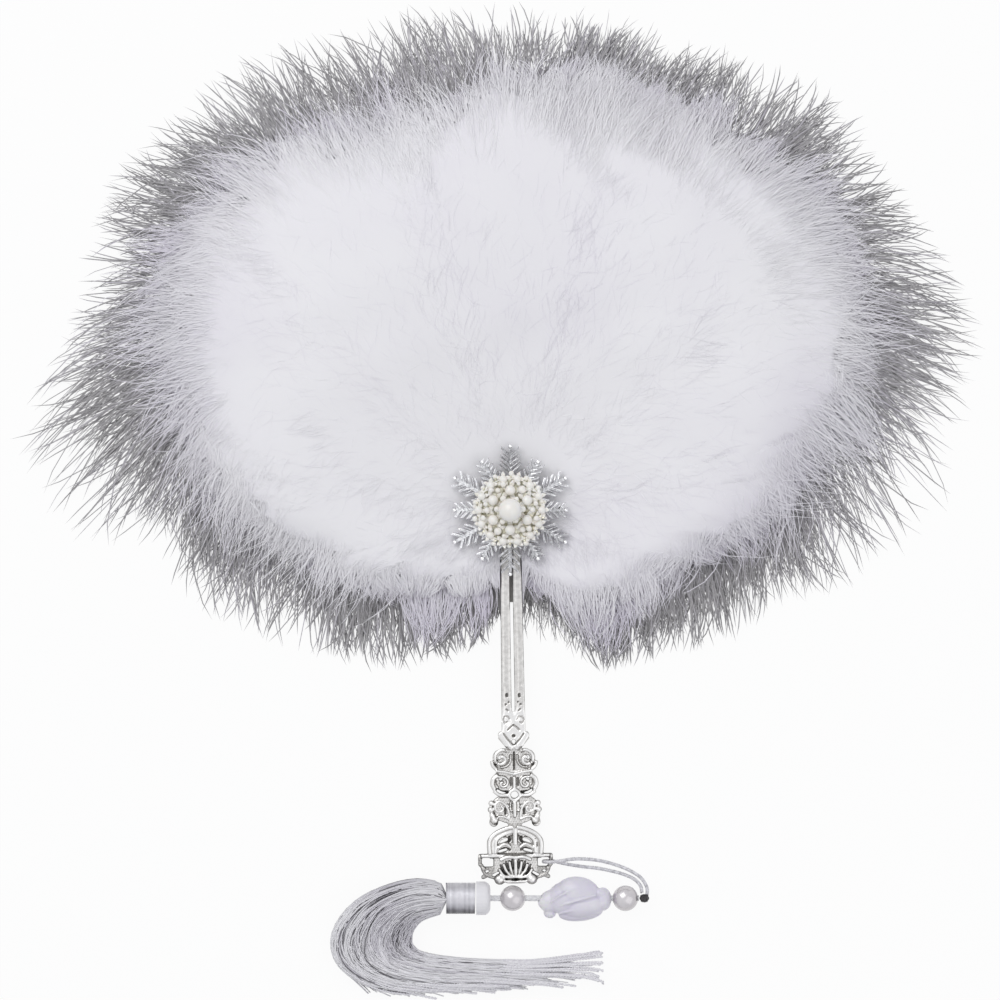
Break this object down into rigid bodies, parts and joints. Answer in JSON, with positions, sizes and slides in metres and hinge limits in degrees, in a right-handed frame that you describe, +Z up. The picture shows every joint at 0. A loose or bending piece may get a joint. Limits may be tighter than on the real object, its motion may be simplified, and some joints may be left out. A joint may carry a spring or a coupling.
{
  "type": "feather fan",
  "caption": "Hand fan of layered white plumes on a cast silver handle, with a pearl and snowflake boss and a beaded tassel on a cord.",
  "frame": {"origin": "middle of the fan's own footprint (feathers, handle and boss, without the free drop), on the table that it lies on", "axes": "+X to the fan's right and along its widest extent, +Y from the handle to the crown, +Z up from the table, out of the front"},
  "size_m": [0.3492, 0.3673, 0.0261],
  "materials": {
    "rear_plume": "soft grey-white barbs",
    "white_plume": "soft fluff",
    "felt": "matt felt",
    "core_board": "matt board",
    "cast_silver": "bright casting with dark recesses",
    "bright_silver": "polished",
    "ivory_pearl": "pearl lustre",
    "white_pearl": "pearl lustre",
    "lavender_resin": "cloudy translucent",
    "cord": "braided satin",
    "knot": "matt",
    "silk": "silky",
    "silver_thread": "metallic thread"
  },
  "bodies": {
    "fan": {"rear_plume_1": "rear_plume", "rear_plume_2": "rear_plume", "rear_plume_3": "rear_plume", "rear_plume_4": "rear_plume", "rear_plume_5": "rear_plume", "rear_plume_6": "rear_plume", "rear_plume_7": "rear_plume", "rear_plume_8": "rear_plume", "rear_plume_9": "rear_plume", "rear_plume_10": "rear_plume", "rear_plume_11": "rear_plume", "rear_plume_12": "rear_plume", "rear_plume_13": "rear_plume", "middle_plume_1": "white_plume", "middle_plume_2": "white_plume", "middle_plume_3": "white_plume", "middle_plume_4": "white_plume", "middle_plume_5": "white_plume", "middle_plume_6": "white_plume", "middle_plume_7": "white_plume", "middle_plume_8": "white_plume", "middle_plume_9": "white_plume", "middle_plume_10": "white_plume", "middle_plume_11": "white_plume", "middle_plume_12": "white_plume", "front_plume_1": "white_plume", "front_plume_2": "white_plume", "front_plume_3": "white_plume", "front_plume_4": "white_plume", "front_plume_5": "white_plume", "front_plume_6": "white_plume", "front_plume_7": "white_plume", "front_plume_8": "white_plume", "front_plume_9": "white_plume", "rear_patch": "felt", "core_board": "core_board", "handle_casting": "cast_silver", "boss_pad": "felt", "snowflake_large": "bright_silver", "snowflake_small": "bright_silver", "filigree_cup": "bright_silver", "seed_bead_ring": "ivory_pearl", "inner_pearl_1": "ivory_pearl", "inner_pearl_2": "ivory_pearl", "inner_pearl_3": "ivory_pearl", "inner_pearl_4": "ivory_pearl", "inner_pearl_5": "ivory_pearl", "inner_pearl_6": "ivory_pearl", "centre_pearl": "ivory_pearl"},
    "drop_loop": {"cord_loop": "cord", "loop_knot": "knot"},
    "drop_string": {"string_cord": "cord"},
    "upper_pearl": {"pearl_upper": "white_pearl"},
    "flower_bead": {"carved_bead": "lavender_resin"},
    "lower_pearl": {"pearl_lower": "white_pearl"},
    "tassel": {"tassel_cap": "silk", "tassel_binding": "silver_thread", "tassel_skirt": "silk"}
  },
  "joints": [
    {"name": "drop_swing", "type": "hinge", "parent": "fan", "child": "drop_loop", "pos_m": [0.01234, -0.15402, 0.0038], "axis": [0, 0, 1], "range_deg": [0, 20]},
    {"name": "string_fold", "type": "hinge", "parent": "drop_loop", "child": "drop_string", "pos_m": [0.04946, -0.16733, 0.0063], "axis": [0, 0, 1], "range_deg": [0, 150]},
    {"name": "upper_pearl_spin", "type": "hinge", "parent": "drop_string", "child": "upper_pearl", "pos_m": [0.04246, -0.16733, 0.0063], "axis": [1, 0, 0], "continuous": true},
    {"name": "flower_bead_spin", "type": "hinge", "parent": "drop_string", "child": "flower_bead", "pos_m": [0.02376, -0.16733, 0.0063], "axis": [1, 0, 0], "continuous": true},
    {"name": "lower_pearl_spin", "type": "hinge", "parent": "drop_string", "child": "lower_pearl", "pos_m": [0.00096, -0.16733, 0.0063], "axis": [1, 0, 0], "continuous": true},
    {"name": "tassel_swing", "type": "hinge", "parent": "drop_string", "child": "tassel", "pos_m": [-0.00874, -0.16733, 0.0063], "axis": [0, 0, 1], "range_deg": [0, 20]}
  ]
}
